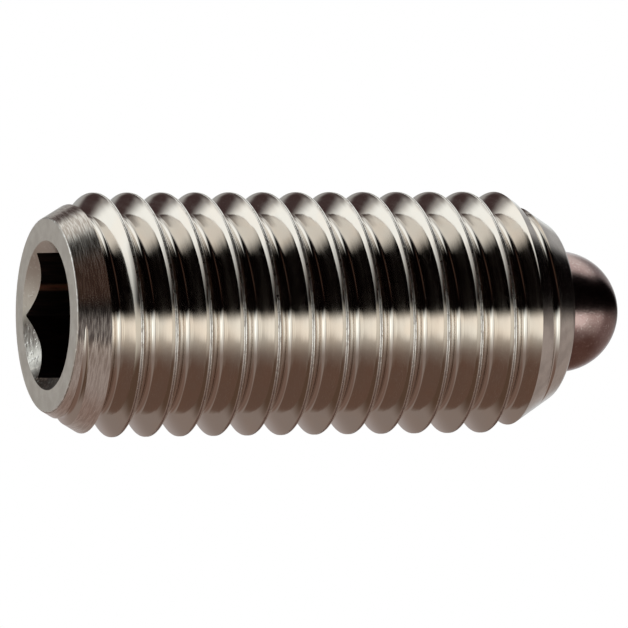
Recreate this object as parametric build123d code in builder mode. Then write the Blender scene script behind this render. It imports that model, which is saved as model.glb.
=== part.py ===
from build123d import *
import math
import os

os.makedirs("parts", exist_ok=True)

# Spring plunger, pin type, M12 x 1.75 right-hand thread, hexagon socket drive.
#
# Frame: the origin is the centre of the flat end face that carries the hexagon
# socket.  +Z runs along the axis to the tip of the pin.  The flats of the
# hexagon across X are parallel to the YZ plane, its corners lie along Y.
#
# Three pieces make the product:
#   threaded_body       one turned piece: thread, socket, spring bore, rolled lip
#   thrust_pin          one turned piece: domed nose, shank, retaining collar
#   compression_spring  one coiled wire, ground flat at both ends
#
# The thread is left at its major diameter: the solid is the thread blank.

# ---------------------------------------------------------------- dimensions
# threaded body
thread_d = 12.0            # major diameter of the thread
body_len = 26.05           # end face to the outside of the rolled lip
face_d = 9.46              # flat end face around the socket
face_edge_r = 0.12         # break at the edge of the end face
chamfer_angle = 30.0       # socket-end chamfer, measured from the axis
nose_angle = 32.2          # nose chamfer, measured from the axis
nose_end_d = 8.50          # nose cone carried on to the lip's plane
nose_round_r = 0.65        # rolled edge between nose cone and lip face

# hexagon socket
hex_af = 6.08              # across flats
hex_depth = 5.0            # depth of the broached flats
csk_d = 7.26               # countersink at the end face
csk_angle = 90.0           # included angle of the countersink
drill_d = 6.0              # pilot drill under the broach
drill_depth = 5.6          # cylindrical part of the pilot hole
drill_point = 118.0        # included angle of the drill point

# spring bore and lip
bore_d = 7.5               # bore for spring and collar
bore_floor = 9.0           # flat floor of the bore
lip_under = 25.3           # inner shoulder that holds the pin
lip_hole_d = 6.12          # hole in the lip, running clearance on the pin

# pin
pin_d = 6.0                # shank and dome
pin_tip = 29.7             # height of the tip at rest
collar_d = 7.38            # retaining collar, running clearance in the bore
collar_len = 3.0           # length of the collar
collar_chamfer = 0.3       # edges of the collar

# spring
wire_d = 1.05              # wire
coil_mean_d = 6.0          # mean coil diameter
coils = 8.5                # turns, end coils included

# ------------------------------------------------------------ derived values
thread_r = thread_d / 2
face_r = face_d / 2
bore_r = bore_d / 2
pin_r = pin_d / 2
collar_r = collar_d / 2
chamfer_len = (thread_r - face_r) / math.tan(math.radians(chamfer_angle))
nose_len = (thread_r - nose_end_d / 2) / math.tan(math.radians(nose_angle))
nose_start = body_len - nose_len
csk_depth = (csk_d / 2) / math.tan(math.radians(csk_angle / 2))
drill_tip = drill_depth + (drill_d / 2) / math.tan(math.radians(drill_point / 2))
collar_back = lip_under - collar_len
spring_len = collar_back - bore_floor

# -------------------------------------------------------------- threaded body
with BuildPart() as threaded_body:
    # outside: end face, chamfer, thread blank, nose cone, rolled lip
    with BuildSketch(Plane.XZ) as outside:
        with BuildLine():
            Polyline(
                (0, 0),
                (face_r, 0),
                (thread_r, chamfer_len),
                (thread_r, nose_start),
                (nose_end_d / 2, body_len),
                (0, body_len),
                close=True,
            )
        make_face()
        fillet(outside.vertices().group_by(Axis.Y)[0].sort_by(Axis.X)[-1], face_edge_r)
        fillet(outside.vertices().group_by(Axis.Y)[-1].sort_by(Axis.X)[-1], nose_round_r)
    revolve(axis=Axis.Z)

    # stepped bore for the spring and the pin, open through the lip
    with BuildSketch(Plane.XZ):
        with BuildLine():
            Polyline(
                (0, bore_floor),
                (bore_r, bore_floor),
                (bore_r, lip_under),
                (lip_hole_d / 2, lip_under),
                (lip_hole_d / 2, body_len + 1),
                (0, body_len + 1),
                close=True,
            )
        make_face()
    revolve(axis=Axis.Z, mode=Mode.SUBTRACT)

    # pilot hole of the socket with its drill point
    with BuildSketch(Plane.XZ):
        with BuildLine():
            Polyline(
                (0, -1),
                (drill_d / 2 - 0.02, -1),
                (drill_d / 2 - 0.02, drill_depth),
                (0, drill_tip),
                close=True,
            )
        make_face()
    revolve(axis=Axis.Z, mode=Mode.SUBTRACT)

    # countersink
    with BuildSketch(Plane.XZ):
        with BuildLine():
            Polyline((0, 0), (csk_d / 2, 0), (0, csk_depth), close=True)
        make_face()
    revolve(axis=Axis.Z, mode=Mode.SUBTRACT)

    # broached hexagon, corners along Y
    with BuildSketch(Plane.XY):
        RegularPolygon(radius=hex_af / 2, side_count=6, major_radius=False, rotation=30)
    extrude(amount=hex_depth, mode=Mode.SUBTRACT)
threaded_body.part.label = "threaded_body"
export_step(threaded_body.part, "parts/threaded_body.step")

# ----------------------------------------------------------------- thrust pin
with BuildPart() as thrust_pin:
    with BuildSketch(Plane.XZ):
        with BuildLine():
            Polyline(
                (0, collar_back),
                (collar_r - collar_chamfer, collar_back),
                (collar_r, collar_back + collar_chamfer),
                (collar_r, lip_under),
                (pin_r, lip_under),
                (pin_r, pin_tip - pin_r),
            )
            RadiusArc((pin_r, pin_tip - pin_r), (0, pin_tip), -pin_r)
            Line((0, pin_tip), (0, collar_back))
        make_face()
    revolve(axis=Axis.Z)
thrust_pin.part.label = "thrust_pin"
export_step(thrust_pin.part, "parts/thrust_pin.step")

# --------------------------------------------------------- compression spring
# The wire is swept a little past both ends and then ground flat.
grind = 0.45 * wire_d
helix_len = spring_len - wire_d + 2 * grind
with BuildPart() as compression_spring:
    with BuildLine(Plane.XY.offset(bore_floor + wire_d / 2 - grind)) as wire_path:
        Helix(pitch=helix_len / coils, height=helix_len, radius=coil_mean_d / 2)
    with BuildSketch(Plane(origin=wire_path.wire() @ 0, z_dir=wire_path.wire() % 0)):
        Circle(wire_d / 2)
    sweep(is_frenet=True)
    split(bisect_by=Plane.XY.offset(bore_floor), keep=Keep.TOP)
    split(bisect_by=Plane.XY.offset(collar_back), keep=Keep.BOTTOM)
compression_spring.part.label = "compression_spring"
export_step(compression_spring.part, "parts/compression_spring.step")

print("chamfer ends at z", round(chamfer_len, 3))
print("nose cone starts at z", round(nose_start, 3))
print("full thread length", round(nose_start - chamfer_len, 3))
print("socket drill tip at z", round(drill_tip, 3))
print("spring length at rest", round(spring_len, 3))
for node in (threaded_body, thrust_pin, compression_spring):
    b = node.part.bounding_box()
    print(node.part.label, "solids", len(node.part.solids()), "volume", round(node.part.volume, 2),
          "z", round(b.min.Z, 3), round(b.max.Z, 3), "x", round(b.min.X, 3), round(b.max.X, 3))
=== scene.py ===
import math

import bmesh
import bpy
import numpy as np
from mathutils import Matrix, Vector


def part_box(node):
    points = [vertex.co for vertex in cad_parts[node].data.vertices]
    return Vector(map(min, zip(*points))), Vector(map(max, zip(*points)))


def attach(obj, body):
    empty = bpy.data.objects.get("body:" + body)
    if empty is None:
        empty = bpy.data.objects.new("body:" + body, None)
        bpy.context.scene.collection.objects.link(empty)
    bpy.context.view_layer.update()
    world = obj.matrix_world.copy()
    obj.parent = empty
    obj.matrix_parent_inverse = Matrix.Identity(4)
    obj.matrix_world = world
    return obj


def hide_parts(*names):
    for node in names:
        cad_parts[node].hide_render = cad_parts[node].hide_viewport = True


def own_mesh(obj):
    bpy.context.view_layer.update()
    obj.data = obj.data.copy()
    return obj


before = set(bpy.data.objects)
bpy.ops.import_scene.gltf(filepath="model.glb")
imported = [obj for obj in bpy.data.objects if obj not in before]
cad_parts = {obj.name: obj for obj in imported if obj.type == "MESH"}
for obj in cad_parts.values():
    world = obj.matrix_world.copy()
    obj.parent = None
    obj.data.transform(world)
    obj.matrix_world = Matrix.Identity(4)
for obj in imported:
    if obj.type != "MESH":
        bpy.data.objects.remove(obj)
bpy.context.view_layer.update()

MM = 0.001
sc = bpy.context.scene

# ------------------------------------------------------------------ dimensions
# millimetres, in the row frame: origin at the socket end face, +Z to the pin tip
body_lo, body_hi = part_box("threaded_body")
pin_lo, pin_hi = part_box("thrust_pin")
spring_lo, spring_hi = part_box("compression_spring")
R_NOM = body_hi.x / MM              # 6.0, nominal M12 radius, the CAD blank
R = R_NOM - 0.05                    # crests as made, 11.9 mm: inside the 6g limits of M12
SEAM = 0.034                           # half of the seam the dies leave along a crest
LEN = body_hi.z / MM                # 26.05, socket face to lip face
TIP = pin_hi.z / MM                 # 29.7, tip of the pin
P = 1.75                            # thread pitch
PHASE = -0.2057                     # height of a crest's middle at azimuth 0
FACE_R = 4.73                       # end face
FACE_BREAK = 0.09                   # rounded rim of the end face
CH_ANG = math.radians(30.0)         # socket-end chamfer, from the axis
NOSE_ANG = math.radians(32.2)       # nose cone, from the axis
NOSE_R = 4.25                       # nose cone carried on to the lip face
NOSE_FIL = 0.65                     # rolled edge of the lip
HEX_AF = 6.08
HEX_DEPTH = 5.0
CSK_R = 3.63
DRILL_R = 2.98
DRILL_Z = 5.6
BORE_R = 3.75
BORE_Z0, BORE_Z1 = 9.0, 25.3
LIP_R = 3.06
PIN_R = 3.0
COLLAR_R = 3.69
COLLAR_Z0 = 22.3

# material slots of the body mesh
THREAD, CREST, CHAMFER, FACE, CSK, SOCKET, NOSE, BORE, RIM = range(9)


# ---------------------------------------------------------------- mesh helpers
def mesh_object(name, verts, faces, tags=None):
    me = bpy.data.meshes.new(name)
    me.from_pydata([tuple(v) for v in verts], [], faces)
    me.update()
    ob = bpy.data.objects.new(name, me)
    sc.collection.objects.link(ob)
    if tags is not None:
        for m in BODY_MATS:
            me.materials.append(m)
        me.polygons.foreach_set("material_index", tags)
    return ob


def lathe(name, profile, n, tags=None):
    """Solid of revolution of a list of (r, z) in mm, listed from the bottom of the axis to its top. tags: one material slot a span."""
    verts, faces, mats, ring = [], [], [], []
    for r, z in profile:
        if r < 1e-9:
            ring.append([len(verts)])
            verts.append((0.0, 0.0, z * MM))
        else:
            ring.append(list(range(len(verts), len(verts) + n)))
            for i in range(n):
                a = 2 * math.pi * i / n
                verts.append((r * MM * math.cos(a), r * MM * math.sin(a), z * MM))
    for k in range(len(profile) - 1):
        a, b = ring[k], ring[k + 1]
        for i in range(n):
            j = (i + 1) % n
            if len(a) == 1 and len(b) == 1:
                continue
            if len(a) == 1:
                faces.append((a[0], b[j], b[i]))
            elif len(b) == 1:
                faces.append((a[i], a[j], b[0]))
            else:
                faces.append((a[i], a[j], b[j], b[i]))
            mats.append(0 if tags is None else tags[k])
    return mesh_object(name, verts, faces, mats if tags is not None else None)


def arc(cx, cz, rad, a0, a1, n):
    """Points of an arc in the (r, z) half plane, angles in degrees from +r towards +z."""
    return [(cx + rad * math.cos(math.radians(a)), cz + rad * math.sin(math.radians(a))) for a in np.linspace(a0, a1, n)]


# ------------------------------------------------------------------ materials
class Nodes:
    """Writes chains of nodes in one node tree."""

    def __init__(self, tree):
        self.t = tree

    def new(self, kind, **props):
        n = self.t.nodes.new(kind)
        for k, v in props.items():
            setattr(n, k, v)
        return n

    def put(self, socket, v):
        if isinstance(v, bpy.types.NodeSocket):
            self.t.links.new(v, socket)
        else:
            socket.default_value = v

    def math(self, op, *a, clamp=False):
        n = self.new("ShaderNodeMath", operation=op, use_clamp=clamp)
        for i, v in enumerate(a):
            self.put(n.inputs[i], v)
        return n.outputs[0]

    def vmath(self, op, *a):
        n = self.new("ShaderNodeVectorMath", operation=op)
        for i, v in enumerate(a):
            self.put(n.inputs[i], v)
        return n.outputs["Value"] if op in ("DOT_PRODUCT", "LENGTH", "DISTANCE") else n.outputs[0]

    def step(self, v, lo, hi, to0=0.0, to1=1.0, kind="SMOOTHSTEP"):
        """to0 below lo, to1 above hi, smooth between them."""
        n = self.new("ShaderNodeMapRange", interpolation_type=kind, clamp=True)
        for k, x in (("Value", v), ("From Min", lo), ("From Max", hi), ("To Min", to0), ("To Max", to1)):
            self.put(n.inputs[k], x)
        return n.outputs[0]

    def mix(self, f, a, b):
        n = self.new("ShaderNodeMix", data_type="RGBA", blend_type="MIX", clamp_factor=True)
        self.put(n.inputs[0], f)
        self.put(n.inputs[6], (*a, 1) if isinstance(a, tuple) and len(a) == 3 else a)
        self.put(n.inputs[7], (*b, 1) if isinstance(b, tuple) and len(b) == 3 else b)
        return n.outputs[2]

    def mul(self, *v):
        out = v[0]
        for x in v[1:]:
            out = self.math("MULTIPLY", out, x)
        return out

    def add(self, *v):
        out = v[0]
        for x in v[1:]:
            out = self.math("ADD", out, x)
        return out

    def noise(self, vec, scale=1.0, detail=2.0, rough=0.5):
        n = self.new("ShaderNodeTexNoise", noise_dimensions="3D")
        self.put(n.inputs["Vector"], vec)
        n.inputs["Scale"].default_value = scale
        n.inputs["Detail"].default_value = detail
        n.inputs["Roughness"].default_value = rough
        return n.outputs["Fac"]

    def vec(self, x, y, z):
        n = self.new("ShaderNodeCombineXYZ")
        for s, v in zip(n.inputs, (x, y, z)):
            self.put(s, v)
        return n.outputs[0]


def shell(name, color, rough, **extra):
    """A metal with its Principled shader and the object-space helpers that its detail is built from. Positions are in mm."""
    m = bpy.data.materials.new(name)
    m.use_nodes = True
    n = Nodes(m.node_tree)
    b = m.node_tree.nodes["Principled BSDF"]
    b.inputs["Metallic"].default_value = 1.0
    b.inputs["Base Color"].default_value = (*color, 1)
    b.inputs["Roughness"].default_value = rough
    for k, v in extra.items():
        b.inputs[k].default_value = v
    co = n.new("ShaderNodeTexCoord").outputs["Object"]
    p = n.vmath("SCALE", co)
    p.node.inputs["Scale"].default_value = 1000.0
    sep = n.new("ShaderNodeSeparateXYZ")
    n.put(sep.inputs[0], p)
    x, y, z = sep.outputs
    r = n.math("SQRT", n.add(n.mul(x, x), n.mul(y, y)))
    rs = n.math("MAXIMUM", r, 0.001)
    c, s = n.math("DIVIDE", x, rs), n.math("DIVIDE", y, rs)
    return m, n, b, dict(p=p, x=x, y=y, z=z, r=r, c=c, s=s)


def bump(n, b, height, distance, strength=1.0):
    bm_ = n.new("ShaderNodeBump")
    bm_.inputs["Strength"].default_value = strength
    bm_.inputs["Distance"].default_value = distance * MM
    n.put(bm_.inputs["Height"], height)
    n.put(b.inputs["Normal"], bm_.outputs[0])


def helix_height(n, g):
    """Place across the thread, 0 to 1 from one crest to the next, the same all along the helix."""
    turn = n.mul(n.math("ARCTAN2", g["y"], g["x"]), P / (2 * math.pi))
    u = n.math("DIVIDE", n.math("SUBTRACT", n.math("SUBTRACT", g["z"], PHASE), turn), P)
    return n.math("FRACT", u)


STEEL = (0.68, 0.635, 0.59)


def make_thread():
    m, n, b, g = shell("steel_thread", STEEL, 0.12)
    t = helix_height(n, g)
    # tool lines that run along the thread
    lines = n.noise(n.vec(n.mul(g["c"], 2.2), n.mul(g["s"], 2.2), n.add(n.mul(t, 12.0), n.mul(g["z"], 0.9))), 1.0, 1.0, 0.5)
    broad = n.noise(n.vec(n.mul(g["c"], 1.5), n.mul(g["s"], 1.5), n.add(n.mul(t, 10.0), n.mul(g["z"], 0.6))), 1.0, 1.0, 0.5)
    blush = n.step(n.noise(g["p"], 0.55, 2.0, 0.5), 0.42, 0.62)
    n.put(b.inputs["Base Color"], n.mix(blush, (*STEEL,), (0.69, 0.63, 0.575)))
    # the dies rub hardest half way down a flank, which is duller there
    mid = n.math("ABSOLUTE", n.math("SUBTRACT", n.math("ABSOLUTE", n.math("SUBTRACT", t, 0.5)), 0.25))
    mid = n.mul(n.step(mid, 0.02, 0.13, 1.0, 0.0), n.step(lines, 0.35, 0.65, 0.55, 1.0))
    n.put(b.inputs["Roughness"], n.add(n.mul(lines, 0.05), 0.05, n.mul(mid, 0.06)))
    bump(n, b, n.add(n.mul(lines, 0.9), n.mul(broad, 1.8)), 0.0022)
    return m


def make_crest():
    """Crests: nicked and pitted along their edges, with the seam a rolled thread has down the middle painted dark:
    painted shade in its groove.
    """
    m, n, b, g = shell("steel_crest", (0.70, 0.665, 0.63), 0.26)
    pits = n.noise(n.vec(n.mul(g["c"], 20.0), n.mul(g["s"], 20.0), n.mul(g["z"], 7.0)), 1.0, 2.0, 0.6)
    pit = n.step(pits, 0.56, 0.66)
    # painted shade: a dark line down the seam's groove
    seam_shade = n.step(n.math("ABSOLUTE", n.math("SUBTRACT", helix_height(n, g), 0.5)), 0.5 - SEAM / P, 0.5 - 0.45 * SEAM / P)
    metal = n.mix(pit, (0.74, 0.705, 0.67), (0.52, 0.47, 0.43))
    n.put(b.inputs["Base Color"], n.mix(n.mul(seam_shade, 0.75), metal, (0.22, 0.185, 0.165)))
    n.put(b.inputs["Roughness"], n.add(0.20, n.mul(pits, 0.18)))
    bump(n, b, n.add(pits, n.mul(pit, -0.8)), 0.010)
    return m


def make_chamfer():
    """Turned chamfer: fine rings round the axis, broken up into dashes."""
    m, n, b, g = shell("steel_chamfer", (0.50, 0.46, 0.425), 0.40)
    fine = n.noise(n.vec(n.mul(g["c"], 7.0), n.mul(g["s"], 7.0), n.mul(g["z"], 17.0)), 1.0, 1.0, 0.6)
    coarse = n.noise(n.vec(n.mul(g["c"], 1.0), n.mul(g["s"], 1.0), n.mul(g["z"], 5.0)), 1.0, 1.0, 0.5)
    # a stretch painted dark: a painted shade band
    turn = n.mul(n.math("ARCTAN2", g["y"], g["x"]), 180.0 / math.pi)
    shade_band = n.step(n.math("ABSOLUTE", n.add(turn, 86.0, n.mul(n.add(fine, -0.5), 8.0))), 6.0, 15.0, 1.0, 0.0)
    cut = n.step(fine, 0.36, 0.64)
    # and one side painted light: a painted highlight
    lit_side = n.step(n.math("ABSOLUTE", n.add(turn, -10.0)), 58.0, 86.0, 1.0, 0.0)
    base = n.mix(lit_side, n.mix(cut, (0.55, 0.49, 0.44), (0.81, 0.76, 0.71)), n.mix(cut, (0.80, 0.765, 0.73), (0.97, 0.955, 0.93)))
    # painted shade: the base is painted dark over the shade band
    n.put(b.inputs["Base Color"], n.mix(shade_band, base, n.mix(cut, (0.17, 0.15, 0.145), (0.42, 0.39, 0.37))))
    n.put(b.inputs["Roughness"], n.add(0.16, n.mul(fine, 0.12)))
    b.inputs["Anisotropic"].default_value = 0.5          # cut marks run round, so reflections smear along the cone
    b.inputs["Anisotropic Rotation"].default_value = 0.25
    bump(n, b, n.add(fine, n.mul(coarse, 0.8)), 0.005)
    return m


def make_rim():
    """Rim of the end face: rubbed bright, with a few bruises."""
    m, n, b, g = shell("steel_rim", (0.78, 0.75, 0.715), 0.36)
    spots = n.step(n.noise(g["p"], 3.5, 2.0, 0.6), 0.50, 0.66)
    n.put(b.inputs["Base Color"], n.mix(spots, (0.62, 0.59, 0.555), (0.92, 0.91, 0.89)))
    n.put(b.inputs["Roughness"], n.add(0.30, n.mul(spots, 0.15)))
    bump(n, b, spots, 0.003)
    return m


def make_face():
    """End face: faced off and dull from plating, with faint rings."""
    m, n, b, g = shell("steel_end_face", (0.60, 0.565, 0.53), 0.52)
    ring = n.noise(n.vec(n.mul(g["c"], 1.2), n.mul(g["s"], 1.2), n.mul(g["r"], 14.0)), 1.0, 2.0, 0.6)
    cloud = n.noise(g["p"], 1.1, 3.0, 0.6)
    n.put(b.inputs["Base Color"], n.mix(n.step(cloud, 0.35, 0.65), (0.565, 0.53, 0.495), (0.64, 0.61, 0.575)))
    n.put(b.inputs["Roughness"], n.add(0.42, n.mul(ring, 0.22)))
    bump(n, b, ring, 0.004)
    return m


def make_csk():
    """Countersink: cut with chatter, so broken bright arcs, and painted shade on one side."""
    m, n, b, g = shell("steel_countersink", (0.72, 0.69, 0.65), 0.20)
    ring = n.noise(n.vec(n.mul(g["c"], 5.0), n.mul(g["s"], 5.0), n.mul(g["r"], 12.0)), 1.0, 3.0, 0.65)
    chips = n.step(n.noise(g["p"], 5.0, 2.0, 0.6), 0.55, 0.7)
    # one side of it is painted dark in streaks, a painted shade; the side away from that was never burnished
    turn = n.mul(n.math("ARCTAN2", g["y"], g["x"]), 180.0 / math.pi)
    brush = n.noise(n.vec(n.mul(g["c"], 14.0), n.mul(g["s"], 14.0), n.mul(g["r"], 5.0)), 1.0, 2.0, 0.6)
    shade_side = n.mul(n.step(n.math("ABSOLUTE", n.add(turn, n.mul(n.add(brush, -0.5), 14.0), -6.0)), 22.0, 52.0, 1.0, 0.0), n.step(brush, 0.2, 0.5, 0.75, 1.0))
    metal = n.mix(chips, (0.80, 0.775, 0.735), (0.92, 0.905, 0.88))
    # painted shade: one side is painted dark over the bright metal
    n.put(b.inputs["Base Color"], n.mix(shade_side, metal, n.mix(n.step(brush, 0.5, 0.66), (0.022, 0.014, 0.010), (0.13, 0.10, 0.085))))
    n.put(b.inputs["Roughness"], n.add(0.20, n.mul(ring, 0.18), n.mul(shade_side, 0.15), n.mul(n.step(turn, 84.0, 104.0), 0.16)))
    bump(n, b, n.add(ring, n.mul(chips, 0.6)), 0.015)
    return m


def make_socket():
    """Broached walls, painted near-black as the shade inside the socket, with a rusty tinge in the drawn lines."""
    m, n, b, g = shell("steel_socket", (0.10, 0.085, 0.08), 0.34)
    draw = n.noise(n.vec(n.mul(g["x"], 6.0), n.mul(g["y"], 6.0), n.mul(g["z"], 0.5)), 1.0, 3.0, 0.6)
    rust = n.mul(n.step(n.math("ABSOLUTE", n.add(g["x"], 1.38)), 0.06, 0.24, 1.0, 0.0), n.step(draw, 0.25, 0.55))
    # painted shade: the walls are painted near-black for the shade deep in the socket
    base = n.mix(n.step(draw, 0.45, 0.8), (0.045, 0.034, 0.032), (0.10, 0.055, 0.045))
    n.put(b.inputs["Base Color"], n.mix(rust, base, (0.62, 0.27, 0.17)))
    n.put(b.inputs["Roughness"], n.add(0.28, n.mul(draw, 0.2)))
    bump(n, b, draw, 0.006)
    return m


def make_nose():
    m, n, b, g = shell("steel_nose", STEEL, 0.17)
    ring = n.noise(n.vec(n.mul(g["c"], 2.4), n.mul(g["s"], 2.4), n.mul(n.add(g["z"], n.mul(g["r"], -0.6)), 7.0)), 1.0, 3.0, 0.6)
    cloud = n.noise(g["p"], 0.9, 2.0, 0.5)
    n.put(b.inputs["Base Color"], n.mix(n.step(cloud, 0.4, 0.65), (*STEEL,), (0.56, 0.52, 0.485)))
    n.put(b.inputs["Roughness"], n.add(0.11, n.mul(ring, 0.14)))
    bump(n, b, ring, 0.0035)
    return m


def make_bore():
    m, n, b, g = shell("steel_bore", (0.34, 0.31, 0.28), 0.42)
    ring = n.noise(n.vec(n.mul(g["c"], 1.5), n.mul(g["s"], 1.5), n.mul(g["z"], 9.0)), 1.0, 2.0, 0.5)
    n.put(b.inputs["Roughness"], n.add(0.34, n.mul(ring, 0.2)))
    bump(n, b, ring, 0.006)
    return m


def make_pin():
    """Hardened pin: plum-brown temper colour, satin from barrel finishing."""
    m, n, b, g = shell("steel_pin_tempered", (0.30, 0.225, 0.205), 0.20)
    grain = n.noise(g["p"], 9.0, 3.0, 0.65)
    turn = n.noise(n.vec(n.mul(g["c"], 2.0), n.mul(g["s"], 2.0), n.mul(g["z"], 8.0)), 1.0, 2.0, 0.5)
    cloud = n.noise(g["p"], 0.8, 2.0, 0.5)
    col = n.mix(n.step(cloud, 0.35, 0.65), (0.28, 0.185, 0.175), (0.345, 0.245, 0.23))
    col = n.mix(n.mul(n.step(grain, 0.54, 0.72), 0.6), col, (0.56, 0.48, 0.46))
    n.put(b.inputs["Base Color"], col)
    n.put(b.inputs["Roughness"], n.add(0.10, n.mul(grain, 0.11), n.mul(turn, 0.04)))
    bump(n, b, n.add(grain, n.mul(turn, 0.5)), 0.0030)
    return m


def make_spring():
    m, n, b, g = shell("steel_spring_wire", (0.47, 0.45, 0.43), 0.30)
    draw = n.noise(n.vec(n.mul(g["x"], 1.0), n.mul(g["y"], 1.0), n.mul(g["z"], 6.0)), 1.0, 3.0, 0.6)
    n.put(b.inputs["Base Color"], n.mix(n.step(draw, 0.35, 0.7), (0.40, 0.375, 0.35), (0.52, 0.50, 0.48)))
    n.put(b.inputs["Roughness"], n.add(0.22, n.mul(draw, 0.18)))
    bump(n, b, draw, 0.004)
    return m


BODY_MATS = [make_thread(), make_crest(), make_chamfer(), make_face(), make_csk(), make_socket(), make_nose(), make_bore(), make_rim()]
PIN_MAT = make_pin()
SPRING_MAT = make_spring()

# ------------------------------------------------------------- thread profile
# ISO metric, 60 degrees, as rolled: a small flat on the crest, flanks that
# bulge a little towards it, and a full arc in the root.
CREST_FLAT, CREST_F = 0.05, 0.05                   # half of the flat, radius of its corners
EASE = 48.0                                        # normal, degrees from radial, where the flank leaves the corner
EASE_DROP, SWELL = 0.20, 57.0                      # this far down it is SWELL degrees; it gains the rest down to the root
FLOOR_R = 4.915
T_CREST = 0.072                                    # edge of the scuffed band


def half_profile():
    """(t, r, s) from the middle of a crest to the middle of the root; s is the normal's angle from radial, degrees."""
    pts = [(0.0, R - 0.022, 0.0), (SEAM / 2, R - 0.011, -35.0), (SEAM, R, 0.0)]
    for a in np.linspace(0, EASE, 3):
        pts.append((CREST_FLAT + CREST_F * math.sin(math.radians(a)), R - CREST_F + CREST_F * math.cos(math.radians(a)), a))
    t, r = pts[-1][0], pts[-1][1]
    top, foot = r, FLOOR_R + 0.13
    stops = [EASE_DROP * k / 4 for k in (1, 2, 3, 4)] + [(EASE_DROP + top - foot) / 2, top - foot]
    angle = lambda d: float(np.interp(d, [0, EASE_DROP, top - foot], [EASE, SWELL, 60.0]))
    for low in stops:
        step = (low - (top - r)) / 20
        for _ in range(20):
            r -= step
            t += step / math.tan(math.radians(angle(top - r - step / 2)))
        pts.append((t, r, angle(low)))
    root_f = (P / 2 - t - (r - FLOOR_R) / math.tan(math.radians(60))) / (math.sin(math.radians(60)) - 0.5 / math.tan(math.radians(60)))
    assert FLOOR_R + root_f / 2 <= r, "the root starts above the flank's foot"
    return pts + [(P / 2 - root_f * math.sin(math.radians(a)), FLOOR_R + root_f * (1 - math.cos(math.radians(a))), a) for a in np.linspace(60, 0, 5)]


HALF = half_profile()
HALF_T, HALF_S = [p[0] for p in HALF], [p[2] for p in HALF]
print("root radius", (P / 2 - HALF[-5][0]) / math.sin(math.radians(60)))


def thread_profile():
    """(t, r) over one pitch, t from the middle of one crest to the middle of the next."""
    pts = [(t, r) for t, r, _ in HALF]
    pts.insert(next(i for i, t in enumerate(HALF_T) if t > T_CREST), (T_CREST, float(np.interp(T_CREST, HALF_T, [p[1] for p in HALF]))))
    return pts + [(P - t, r) for t, r in pts[::-1][1:-1]]


def thread_normal(x, y, z):
    """Outward normal of the ideal thread at a point on it, in mm."""
    a = math.atan2(y, x)
    t = (z - PHASE - P * a / (2 * math.pi)) % P
    side = 1.0
    if t > P / 2:
        t, side = P - t, -1.0
    s = math.radians(float(np.interp(t, HALF_T, HALF_S)))
    nr, nz = math.cos(s), side * math.sin(s)
    lead = -nz * P / (2 * math.pi * math.hypot(x, y))   # the helix leans the normal a little round the axis
    n = Vector((nr * math.cos(a) - lead * math.sin(a), nr * math.sin(a) + lead * math.cos(a), nz))
    return n.normalized()


PROFILE = thread_profile()


def thread_rod(name, n, z0, z1):
    """Closed helical rod: rows follow the helix, n columns round."""
    turns0 = int(math.floor((z0 - PHASE) / P)) - 1
    turns1 = int(math.ceil((z1 - PHASE) / P)) + 1
    rows = [(k * P + t, r) for k in range(turns0, turns1) for t, r in PROFILE]
    m = len(PROFILE)
    off = [min(t % P, P - t % P) for t, r in rows]
    row_tag = [CREST if off[i] < T_CREST + 1e-6 and off[i + 1] < T_CREST + 1e-6 else THREAD for i in range(len(rows) - 1)]
    verts, faces, tags = [], [], []
    for t, r in rows:
        for i in range(n):
            a = 2 * math.pi * i / n
            verts.append((r * MM * math.cos(a), r * MM * math.sin(a), (PHASE + t + P * i / n) * MM))
    for k in range(len(rows) - 1):
        for i in range(n):
            j = (i + 1) % n
            a, d = k * n + i, (k + 1) * n + i
            if j:
                b, c = k * n + j, (k + 1) * n + j
            else:                                   # the seam steps on by one pitch
                if k + m + 1 >= len(rows):
                    continue
                b, c = (k + m) * n, (k + 1 + m) * n
            faces.append((a, b, c, d))
            tags.append(row_tag[k])
    ob = mesh_object(name, verts, faces, tags)
    bm = bmesh.new()
    bm.from_mesh(ob.data)
    bmesh.ops.delete(bm, geom=[v for v in bm.verts if not v.link_faces], context="VERTS")
    border = [e for e in bm.edges if e.is_boundary]
    todo = set(border)
    while todo:                                     # close both ends with fans to the axis
        e = next(e for e in border if e in todo)
        todo.discard(e)
        chain, v = [e.verts[0], e.verts[1]], e.verts[1]
        while True:
            nxt = [x for x in v.link_edges if x in todo]
            if not nxt:
                break
            todo.discard(nxt[0])
            v = nxt[0].other_vert(v)
            if v is chain[0]:
                break
            chain.append(v)
        c = bm.verts.new((0, 0, sum(v.co.z for v in chain) / len(chain)))
        for i in range(len(chain)):
            bm.faces.new((chain[i], chain[(i + 1) % len(chain)], c))
    bmesh.ops.recalc_face_normals(bm, faces=bm.faces[:])
    bm.to_mesh(ob.data)
    bm.free()
    return ob


def boolean(ob, cutter, op):
    m = ob.modifiers.new("b", "BOOLEAN")
    m.operation = op
    m.object = cutter
    m.solver = "MANIFOLD"
    m.material_mode = "INDEX"
    dg = bpy.context.evaluated_depsgraph_get()
    me = bpy.data.meshes.new_from_object(ob.evaluated_get(dg))
    ob.modifiers.clear()
    old = ob.data
    ob.data = me
    bpy.data.meshes.remove(old)
    bpy.data.objects.remove(cutter)
    return ob


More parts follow.
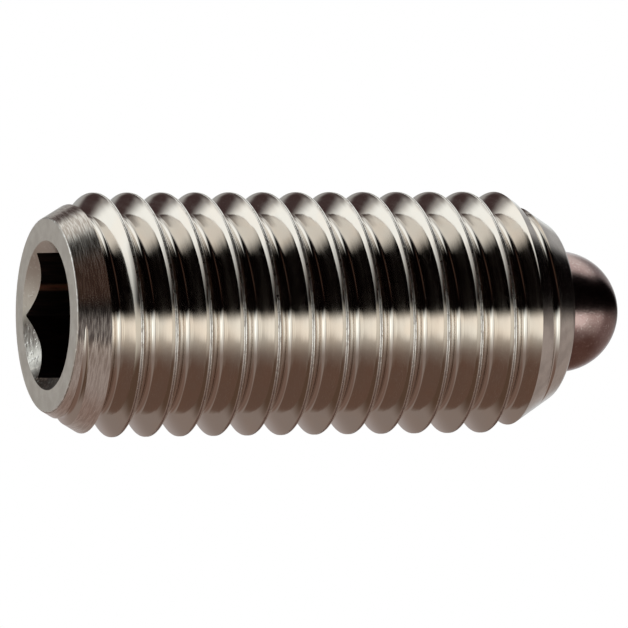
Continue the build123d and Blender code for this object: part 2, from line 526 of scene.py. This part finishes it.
# ------------------------------------------------------------------- the body
NSEG = 180
ch_len = (R + 0.1 - FACE_R) / math.tan(CH_ANG)
nose_len = (R + 0.1 - NOSE_R) / math.tan(NOSE_ANG)
turn = math.pi / 2 - NOSE_ANG                       # the lip's corner turns by this much
tl = NOSE_FIL * math.tan(turn / 2)
nose_c = (NOSE_R - tl, LEN - NOSE_FIL)              # centre of the rolled lip
nose_arc = arc(nose_c[0], nose_c[1], NOSE_FIL, math.degrees(NOSE_ANG), 90, 13)
rim_turn = math.pi / 2 - CH_ANG
rim_tl = FACE_BREAK * math.tan(rim_turn / 2)
rim_c = (FACE_R - rim_tl, FACE_BREAK)
rim_arc = arc(rim_c[0], rim_c[1], FACE_BREAK, -90, -math.degrees(CH_ANG), 6)
prof = [(0, 0)] + rim_arc + [(R + 0.1, ch_len), (R + 0.1, LEN - nose_len)] + nose_arc + [(0, LEN)]
tags = [FACE] + [RIM] * 5 + [CHAMFER] + [THREAD] + [NOSE] * 13 + [NOSE]
body = thread_rod("threaded_body_finish", NSEG, -1.0, LEN + 1.0)
boolean(body, lathe("blank", prof, NSEG, tags), "INTERSECT")
boolean(body, lathe("bore_cut", [(0, BORE_Z0), (BORE_R, BORE_Z0), (BORE_R, BORE_Z1), (LIP_R, BORE_Z1), (LIP_R, LEN - 0.12), (LIP_R + 0.3, LEN + 0.18), (0, LEN + 0.18)], NSEG, [BORE] * 3 + [NOSE] * 3), "DIFFERENCE")
boolean(body, lathe("drill_cut", [(0, -1), (DRILL_R, -1), (DRILL_R, DRILL_Z), (0, DRILL_Z + DRILL_R / math.tan(math.radians(59)))], 96, [SOCKET] * 3), "DIFFERENCE")
boolean(body, lathe("csk_cut", [(0, -0.5), (CSK_R + 0.5, -0.5), (0, CSK_R)], NSEG, [CSK] * 2), "DIFFERENCE")
hex_r = HEX_AF / math.sqrt(3)
hex_pts = []
for i in range(6):                                  # corners carried on a small radius, as a broach leaves them
    a = math.radians(30 + 60 * i)
    cr = 0.12
    c = (hex_r - cr / math.cos(math.radians(30)) ) * 1.0
    for d in (-30, -10, 10, 30):
        hex_pts.append((c * math.cos(a) + cr * math.cos(a + math.radians(d)), c * math.sin(a) + cr * math.sin(a + math.radians(d))))
nh = len(hex_pts)
hv = [(x * MM, y * MM, -1 * MM) for x, y in hex_pts] + [(x * MM, y * MM, HEX_DEPTH * MM) for x, y in hex_pts]
hex_cut = mesh_object("hex_cut", hv, [tuple(range(nh - 1, -1, -1)), tuple(range(nh, 2 * nh))] + [(i, (i + 1) % nh, nh + (i + 1) % nh, nh + i) for i in range(nh)], [SOCKET] * (nh + 2))
boolean(body, hex_cut, "DIFFERENCE")

me = body.data
bm = bmesh.new()
bm.from_mesh(me)
print("BODY polygons", len(me.polygons), "tris", sum(len(p.vertices) - 2 for p in me.polygons),
      "non manifold", sum(1 for e in bm.edges if not e.is_manifold), "volume", round(bm.calc_volume() * 1e9, 2), "slots", len(me.materials))
bm.free()


def cone_normal(x, y, nr, nz):
    r = math.hypot(x, y)
    return Vector((nr * x / r, nr * y / r, nz))


def surface_normal(tag, co, flat):
    """Normal of the ideal surface at a vertex; flat is the polygon's own."""
    x, y, z = co.x / MM, co.y / MM, co.z / MM
    r = math.hypot(x, y)
    if tag in (THREAD, CREST):
        return thread_normal(x, y, z)
    if tag == RIM:
        s = math.atan2(r - rim_c[0], rim_c[1] - z)
        return cone_normal(x, y, math.sin(s), -math.cos(s))
    if tag == CHAMFER:
        return cone_normal(x, y, math.cos(CH_ANG), -math.sin(CH_ANG))
    if tag == NOSE and r > LIP_R + 0.25 and flat.z < 0.999:
        if z > nose_arc[0][1]:
            s = math.atan2(z - nose_c[1], r - nose_c[0])
            return cone_normal(x, y, math.cos(s), math.sin(s))
        return cone_normal(x, y, math.cos(NOSE_ANG), math.sin(NOSE_ANG))
    if tag == CSK:
        return cone_normal(x, y, -math.sqrt(0.5), -math.sqrt(0.5))
    if tag == BORE and abs(flat.z) < 0.5:
        return cone_normal(x, y, -1.0, 0.0)
    return flat


normals = [None] * len(me.loops)
for p in me.polygons:
    p.use_smooth = True
    for li in p.loop_indices:
        nv = surface_normal(p.material_index, me.vertices[me.loops[li].vertex_index].co, p.normal)
        if nv.dot(p.normal) < 0.80:
            nv = p.normal
        normals[li] = tuple(nv)
me.normals_split_custom_set(normals)

# -------------------------------------------------------------------- the pin
pin_prof = [(0, COLLAR_Z0), (COLLAR_R - 0.3, COLLAR_Z0), (COLLAR_R, COLLAR_Z0 + 0.3), (COLLAR_R, BORE_Z1), (PIN_R, BORE_Z1)]
pin_prof += arc(0, TIP - PIN_R, PIN_R, 0, 90, 40)[:-1] + [(0, TIP)]
pin = lathe("thrust_pin_finish", pin_prof, NSEG)
pin.data.materials.append(PIN_MAT)
for p in pin.data.polygons:
    p.use_smooth = True
pin.data.set_sharp_from_angle(angle=math.radians(30))

# ----------------------------------------------------------------- the spring
WIRE, COIL_R, TURNS = 1.05, 3.0, 8.5
SZ0, SZ1 = spring_lo.z / MM, spring_hi.z / MM


def coil_height(q):
    """Height of the wire's middle, q 0 to 1 along it: closed end turns, then an even pitch."""
    end = 0.9 / TURNS
    lo, hi = SZ0 + WIRE * 0.42, SZ1 - WIRE * 0.42
    rise = WIRE * 0.9
    if q < end:
        return lo + rise * (q / end) * 0.9
    if q > 1 - end:
        return hi - rise * ((1 - q) / end) * 0.9
    f = (q - end) / (1 - 2 * end)
    return lo + rise * 0.9 + (hi - lo - 1.8 * rise) * f


verts, faces = [], []
rings, seg = 420, 12
for i in range(rings + 1):
    q = i / rings
    a = 2 * math.pi * TURNS * q
    h = coil_height(q)
    for k in range(seg):
        b_ = 2 * math.pi * k / seg
        rr = COIL_R + WIRE / 2 * math.cos(b_)
        z = min(max(h + WIRE / 2 * math.sin(b_), SZ0), SZ1)       # ground ends
        verts.append((rr * math.cos(a) * MM, rr * math.sin(a) * MM, z * MM))
for i in range(rings):
    for k in range(seg):
        l = (k + 1) % seg
        faces.append((i * seg + k, (i + 1) * seg + k, (i + 1) * seg + l, i * seg + l))
faces.append(tuple(range(seg)))
faces.append(tuple(range((rings + 1) * seg - 1, rings * seg - 1, -1)))
spring = mesh_object("spring_finish", verts, faces)
bm = bmesh.new()
bm.from_mesh(spring.data)
bmesh.ops.recalc_face_normals(bm, faces=bm.faces[:])
bm.to_mesh(spring.data)
bm.free()
spring.data.materials.append(SPRING_MAT)
for p in spring.data.polygons:
    p.use_smooth = True
spring.data.set_sharp_from_angle(angle=math.radians(40))

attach(body, "body"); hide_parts("threaded_body")
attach(pin, "pin"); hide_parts("thrust_pin")
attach(spring, "body"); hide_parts("compression_spring")
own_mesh(spring)

# ----------------------------------------------------------------- the camera
TH, RO = math.radians(20.5), math.radians(0.4288)
DIST, PX_MM, TX, TY, W0 = 420.0, 20.3725, 20.260, -0.791, 14.91
right = Vector((math.sin(RO), -math.sin(TH) * math.cos(RO), math.cos(TH) * math.cos(RO)))
up = Vector((-math.cos(RO), -math.sin(TH) * math.sin(RO), math.cos(TH) * math.sin(RO)))
back = Vector((0, -math.cos(TH), -math.sin(TH)))
p0 = Vector((0, 0, W0))
eye = p0 + back * DIST
aim = p0 - right * (TX / PX_MM) + up * (TY / PX_MM)
zc = (eye - aim).normalized()
xc = up.cross(zc).normalized()
yc = zc.cross(xc)
cam_data = bpy.data.cameras.new("camera")
cam = bpy.data.objects.new("camera", cam_data)
sc.collection.objects.link(cam)
cam.matrix_world = Matrix(((xc.x, yc.x, zc.x, eye.x * MM), (xc.y, yc.y, zc.y, eye.y * MM), (xc.z, yc.z, zc.z, eye.z * MM), (0, 0, 0, 1)))
cam_data.sensor_width = 36
cam_data.lens = 36 * PX_MM * DIST / 628
cam_data.clip_start, cam_data.clip_end = 0.01, 10
sc.camera = cam

# ----------------------------------------------------------------- the studio
# A white tent round the object, described from where the photographer stands:
# azimuth 0 towards the camera and +90 to its right, elevation upwards.
world = bpy.data.worlds.new("studio")
sc.world = world
world.use_nodes = True
world.cycles.sampling_method = "NONE"
wt = world.node_tree
wt.nodes.clear()
N = Nodes(wt)
dirn = N.vmath("NORMALIZE", N.new("ShaderNodeTexCoord").outputs["Generated"])
sx = N.vmath("DOT_PRODUCT", dirn, tuple(xc))
sy = N.vmath("DOT_PRODUCT", dirn, tuple(yc))
sz = N.vmath("DOT_PRODUCT", dirn, tuple(zc))
el = N.math("MULTIPLY", N.math("ARCSINE", sy), 180 / math.pi)
az = N.math("MULTIPLY", N.math("ARCTAN2", sx, sz), 180 / math.pi)


def towards(azimuth, elevation):
    a, e = math.radians(azimuth), math.radians(elevation)
    return xc * math.sin(a) * math.cos(e) + yc * math.sin(e) + zc * math.cos(a) * math.cos(e)


def spot(azimuth, elevation, inner, outer):
    """1 within inner degrees of a direction, 0 beyond outer."""
    d = N.vmath("DOT_PRODUCT", dirn, tuple(towards(azimuth, elevation)))
    return N.step(d, math.cos(math.radians(outer)), math.cos(math.radians(inner)))


WHITE = (1.27, 1.32, 1.29)
FRONT = (1.34, 1.38, 1.31)
HOT = (1.78, 1.84, 1.78)
BROWN = (0.29, 0.235, 0.21)
DEEP = (0.205, 0.133, 0.107)
UNDER = (0.115, 0.070, 0.048)
WALL = (0.40, 0.345, 0.32)
SIDE = (0.86, 0.83, 0.73)
GREY = (0.37, 0.36, 0.35)
STRIP = (0.045, 0.022, 0.022)
BLACK = (0.0015, 0.0008, 0.0008)

# below the horizon: a lit table edge in front, brown wood under it
low = N.mix(spot(140, -64, 34, 50), BROWN, DEEP)
low = N.mix(spot(-90, -33, 12, 30), low, UNDER)
low = N.mix(N.mul(N.step(az, -166, -140, 1.0, 0.0), N.step(el, -34, -10)), low, (0.40, 0.35, 0.335))
low = N.mix(N.mul(N.step(el, -48, -18), N.step(az, 84, 104)), low, WALL)
low = N.mix(N.mul(N.step(el, -28, -12), N.step(az, -50, -34, 1.0, 0.0), N.step(az, -112, -88)), low, SIDE)
in_front = N.mul(N.step(az, -21, -7), N.step(az, 88, 108, 1.0, 0.0))
dip = N.add(el, N.mul(N.math("MAXIMUM", N.add(az, -30.0), 0.0), -0.25))
low = N.mix(N.mul(in_front, N.step(dip, -52, -14)), low, FRONT)
low = N.mix(spot(47, -14, 4, 17), low, HOT)
low = N.mix(N.mul(N.step(az, 150, 172), N.step(el, -34, -8)), low, (0.66, 0.67, 0.68))

# above it: white, a black card leaning over the front, a dark gap at the back left
high = N.mix(N.mul(N.step(az, 118, 130), N.step(az, 158, 180, 1.0, 0.0), N.step(el, 30, 52, 1.0, 0.0)), WHITE, (0.46, 0.46, 0.46))
high = N.mix(N.mul(N.step(az, 165, 176), N.step(el, 16, 40, 1.0, 0.0)), high, (0.85, 0.90, 0.92))
high = N.mix(N.mul(spot(-118, 55, 8, 18), 0.9), high, (0.68, 0.67, 0.64))
gap_top = N.add(el, N.mul(N.add(az, 132.0), 0.5))            # the gap's upper edge slants
over = N.math("MAXIMUM", N.add(el, -28.0), 0.0)
gap = N.mul(N.step(N.add(az, N.mul(over, -0.1)), -129.0, N.add(-117.0, N.mul(over, 0.5)), 1.0, 0.0), N.step(gap_top, 38, 51, 1.0, 0.0))
gap = N.mul(gap, N.step(az, -180, -172))
high = N.mix(gap, high, N.mix(N.step(el, 10, 20), (0.44, 0.45, 0.44), GREY))
high = N.mix(N.mul(spot(-168, 38, 4, 14), 0.8), high, (0.85, 0.83, 0.80))
high = N.mix(N.mul(spot(-140, 20, 7, 15), 0.95), high, STRIP)
high = N.mix(N.mul(spot(-141, 38, 2, 11), 0.85), high, STRIP)
high = N.mix(N.mul(spot(-157, 37, 6, 11), 0.95), high, STRIP)
card_side = N.vmath("DOT_PRODUCT", dirn, tuple((xc * 0.31 - yc * 0.72 + zc * 0.62).normalized()))
left_card = N.add(az, N.mul(N.math("MINIMUM", el, 22.0), -0.35), N.mul(N.math("MAXIMUM", N.add(el, -50.0), 0.0), 3.0))
card_top = N.vmath("DOT_PRODUCT", dirn, tuple((xc * -0.06 - yc * 0.72 + zc * 0.62).normalized()))
card = N.mix(N.step(el, 30, 55), N.step(card_side, -0.60, -0.46), N.step(card_top, -0.85, -0.60))
card = N.mul(card, N.step(left_card, -98, -58))
high = N.mix(card, high, N.mix(spot(-38, 30, 14, 34), BLACK, (0.05, 0.028, 0.02)))
env = N.mix(N.step(el, -9.0, 4.0), low, high)

lp = N.new("ShaderNodeLightPath")
seen = N.mix(lp.outputs["Is Diffuse Ray"], env, (1.0, 1.0, 1.0))
seen = N.mix(lp.outputs["Is Camera Ray"], seen, (1.0, 1.0, 1.0))
bg = N.new("ShaderNodeBackground")
N.put(bg.inputs[0], seen)
wt.links.new(bg.outputs[0], N.new("ShaderNodeOutputWorld").inputs[0])

# Pale floor under the standing part. The photograph looks up from below this
# plane, so the floor is clear from its underside, and clear to reflections.
fm = bpy.data.materials.new("floor")
fm.use_nodes = True
F = Nodes(fm.node_tree)
fm.node_tree.nodes.clear()
diff = F.new("ShaderNodeBsdfDiffuse")
diff.inputs["Color"].default_value = (0.86, 0.855, 0.845, 1)
glow = F.new("ShaderNodeEmission")
glow.inputs["Color"].default_value = (1, 1, 1, 1)
clear = F.new("ShaderNodeBsdfTransparent")
fp = F.new("ShaderNodeTexCoord").outputs["Object"]
reach = F.step(F.vmath("LENGTH", fp), 0.06, 0.50)
far = F.new("ShaderNodeMixShader")
F.put(far.inputs[0], reach)
fm.node_tree.links.new(diff.outputs[0], far.inputs[1])
fm.node_tree.links.new(glow.outputs[0], far.inputs[2])
side = F.new("ShaderNodeMixShader")
F.put(side.inputs[0], F.new("ShaderNodeNewGeometry").outputs["Backfacing"])
fm.node_tree.links.new(far.outputs[0], side.inputs[1])
fm.node_tree.links.new(clear.outputs[0], side.inputs[2])
fm.node_tree.links.new(side.outputs[0], F.new("ShaderNodeOutputMaterial").inputs[0])
fme = bpy.data.meshes.new("floor")
fme.from_pydata([(-3, -3, 0), (3, -3, 0), (3, 3, 0), (-3, 3, 0)], [], [(0, 1, 2, 3)])
fme.materials.append(fm)
floor = bpy.data.objects.new("floor", fme)
floor.location = (0, 0, -0.00002)
floor.visible_glossy = False
floor.visible_diffuse = False
sc.collection.objects.link(floor)

# one soft box for the shadow on the floor only
sd = bpy.data.lights.new("soft_box", "AREA")
sd.shape, sd.size, sd.energy = "DISK", 0.5, 0.55
soft = bpy.data.objects.new("soft_box", sd)
soft.location = Vector((0.35, -0.25, 0.75))
soft.rotation_mode = "QUATERNION"
soft.rotation_quaternion = soft.location.to_track_quat("Z", "Y")
soft.visible_glossy = False
soft.visible_camera = False
sc.collection.objects.link(soft)

sc.view_settings.view_transform = "Standard"
sc.view_settings.look = "None"
